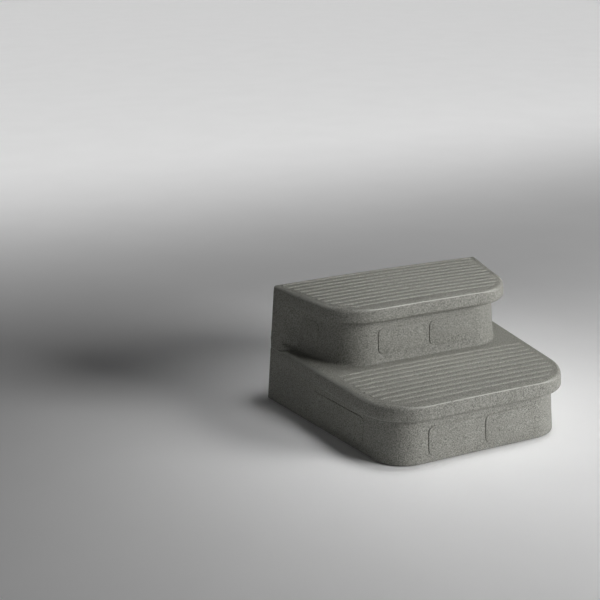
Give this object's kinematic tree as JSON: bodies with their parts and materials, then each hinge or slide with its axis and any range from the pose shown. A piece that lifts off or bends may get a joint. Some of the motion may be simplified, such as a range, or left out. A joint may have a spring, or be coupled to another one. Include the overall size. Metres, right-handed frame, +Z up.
{
  "type": "spa steps",
  "caption": "Two-tier moulded spa steps with rounded front corners, overhanging ribbed treads, raised riser panels and rubber feet.",
  "frame": {"origin": "middle of the floor rectangle that the steps cover, on the floor under the rubber feet", "axes": "+Z up; -Y is the front that a person steps up from, +Y is the side against the tub; +X is to the right seen from the front"},
  "size_m": [0.7714, 0.628, 0.3704],
  "materials": {
    "shell_plastic": "granite-speckled warm grey moulded polyethylene with a fine pebbled texture",
    "panel_plastic": "the same speckled grey plastic as the shell",
    "base_plastic": "dark grey moulded plastic",
    "post_plastic": "off-white extruded pipe",
    "foot_rubber": "black rubber",
    "stainless_steel": "bright stainless screws and nuts",
    "zinc_steel": "zinc-plated spring steel",
    "insert_brass": "plain brass"
  },
  "bodies": {
    "root": {"step_shell": "shell_plastic", "base_panel": "base_plastic", "upper_riser_panel_left": "panel_plastic", "upper_riser_panel_right": "panel_plastic", "lower_riser_panel_left": "panel_plastic", "lower_riser_panel_right": "panel_plastic", "upper_side_panel_left": "panel_plastic", "upper_side_panel_right": "panel_plastic", "lower_side_panel_left": "panel_plastic", "lower_side_panel_right": "panel_plastic", "panel_push_nuts": "zinc_steel", "upper_post_left": "post_plastic", "upper_post_right": "post_plastic", "lower_post_left": "post_plastic", "lower_post_centre": "post_plastic", "lower_post_right": "post_plastic", "post_caps": "base_plastic", "foot_back_left": "foot_rubber", "foot_back_centre": "foot_rubber", "foot_back_right": "foot_rubber", "foot_front_left": "foot_rubber", "foot_front_centre": "foot_rubber", "foot_front_right": "foot_rubber", "foot_screws": "stainless_steel", "foot_nuts": "stainless_steel", "base_screws": "stainless_steel", "threaded_inserts": "insert_brass"}
  },
  "joints": []
}
